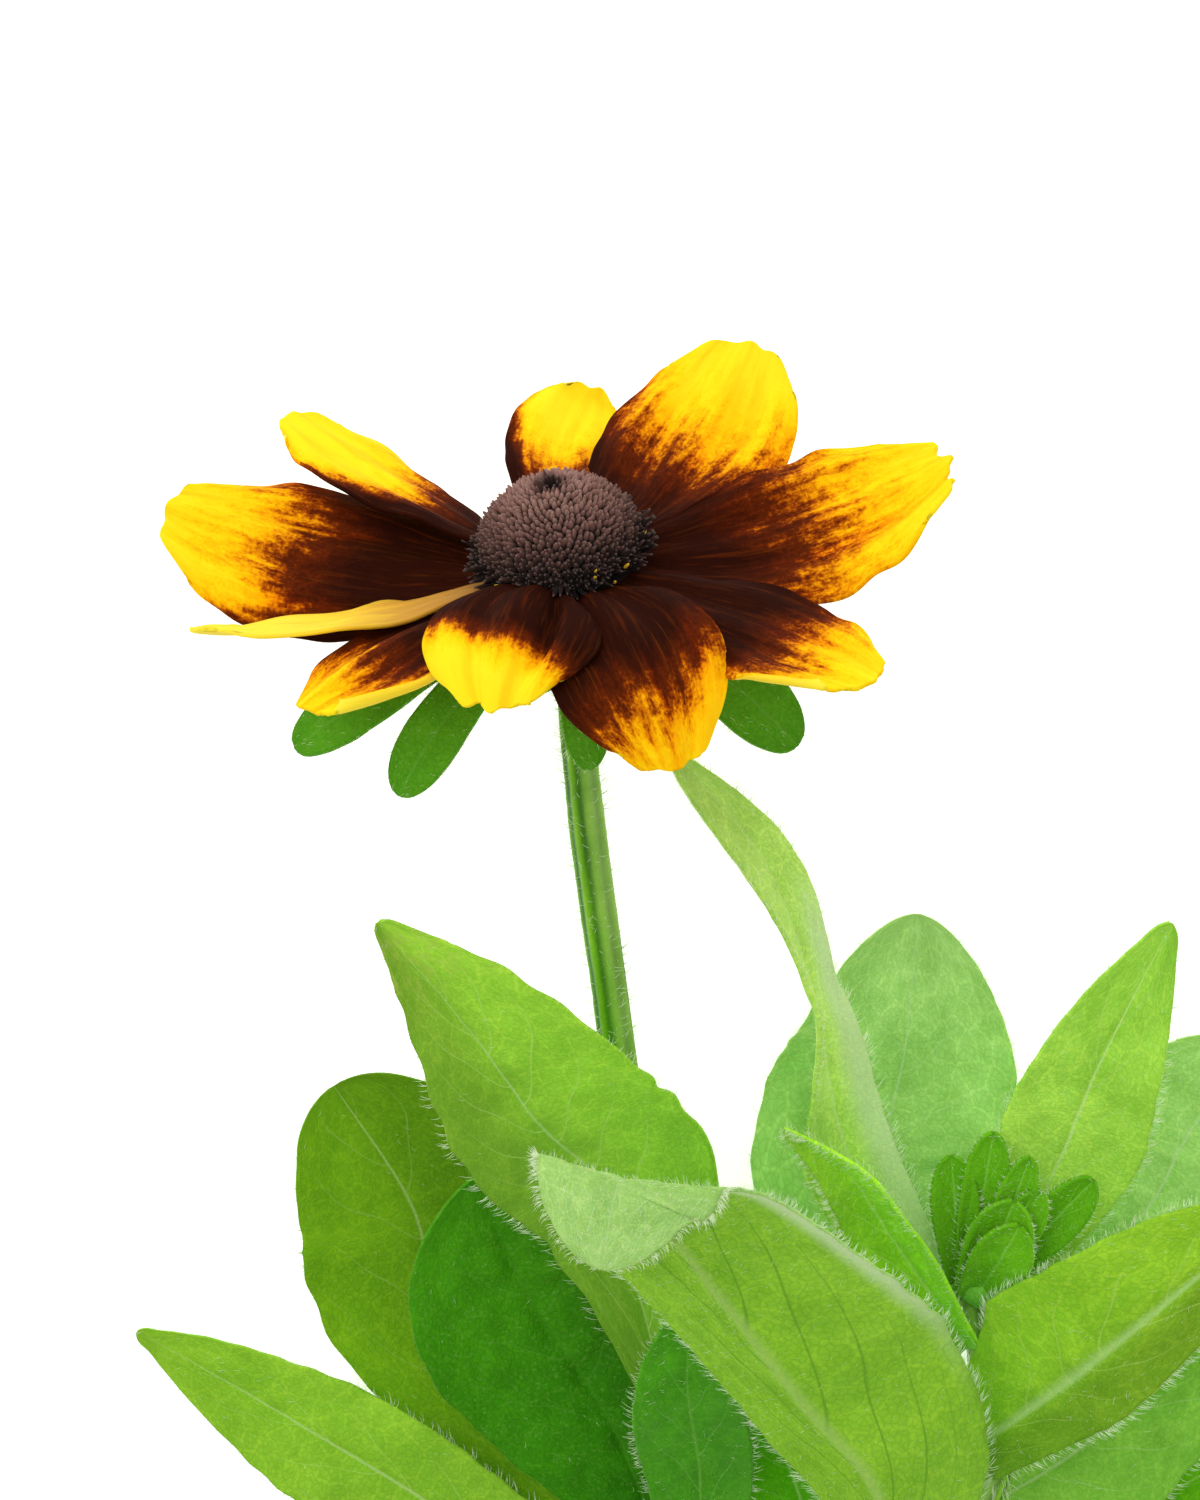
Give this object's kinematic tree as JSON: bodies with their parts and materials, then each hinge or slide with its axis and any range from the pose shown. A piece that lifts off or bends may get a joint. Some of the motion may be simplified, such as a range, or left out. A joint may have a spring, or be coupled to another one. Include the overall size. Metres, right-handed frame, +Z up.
{
  "type": "cut black-eyed susan flower",
  "caption": "Cut daisy-like flower lying on a table: yellow ray petals with mahogany bases round a dark domed centre, on a ribbed hairy stem with broad green leaves and a leafy side shoot.",
  "frame": {"origin": "middle of the bounding box's base, on the surface that the flower lies on", "axes": "+Y along the stem towards the bloom, +Z up from the surface, +X to the right of a viewer who looks down with the bloom at the top"},
  "size_m": [0.1206, 0.154, 0.0573],
  "materials": {
    "petals": "velvety matt petal, mahogany brown towards the base",
    "disc": "matt, rough with tiny florets",
    "bracts": "matt, softly hairy",
    "stalks": "ribbed, satin, with short white hairs",
    "leaves": "matt, softly hairy leaf",
    "young_leaves": "matt, softly hairy leaf"
  },
  "bodies": {
    "root": {"disc": "disc", "ray_petals": "petals", "bracts": "bracts", "stem": "stalks", "side_shoot": "stalks", "young_leaves": "young_leaves", "leaf_upper_left": "leaves", "leaf_shaded": "leaves", "leaf_round_left": "leaves", "leaf_low_left": "leaves", "leaf_small_centre": "leaves", "leaf_curled_front": "leaves", "leaf_behind_curled": "leaves", "leaf_narrow_arched": "leaves", "leaf_round_back": "leaves", "leaf_folded_small": "leaves", "leaf_pointed_right": "leaves", "leaf_back_right": "leaves", "leaf_broad_right": "leaves", "leaf_low_right": "leaves", "leaf_lowest_right": "leaves"}
  },
  "joints": []
}
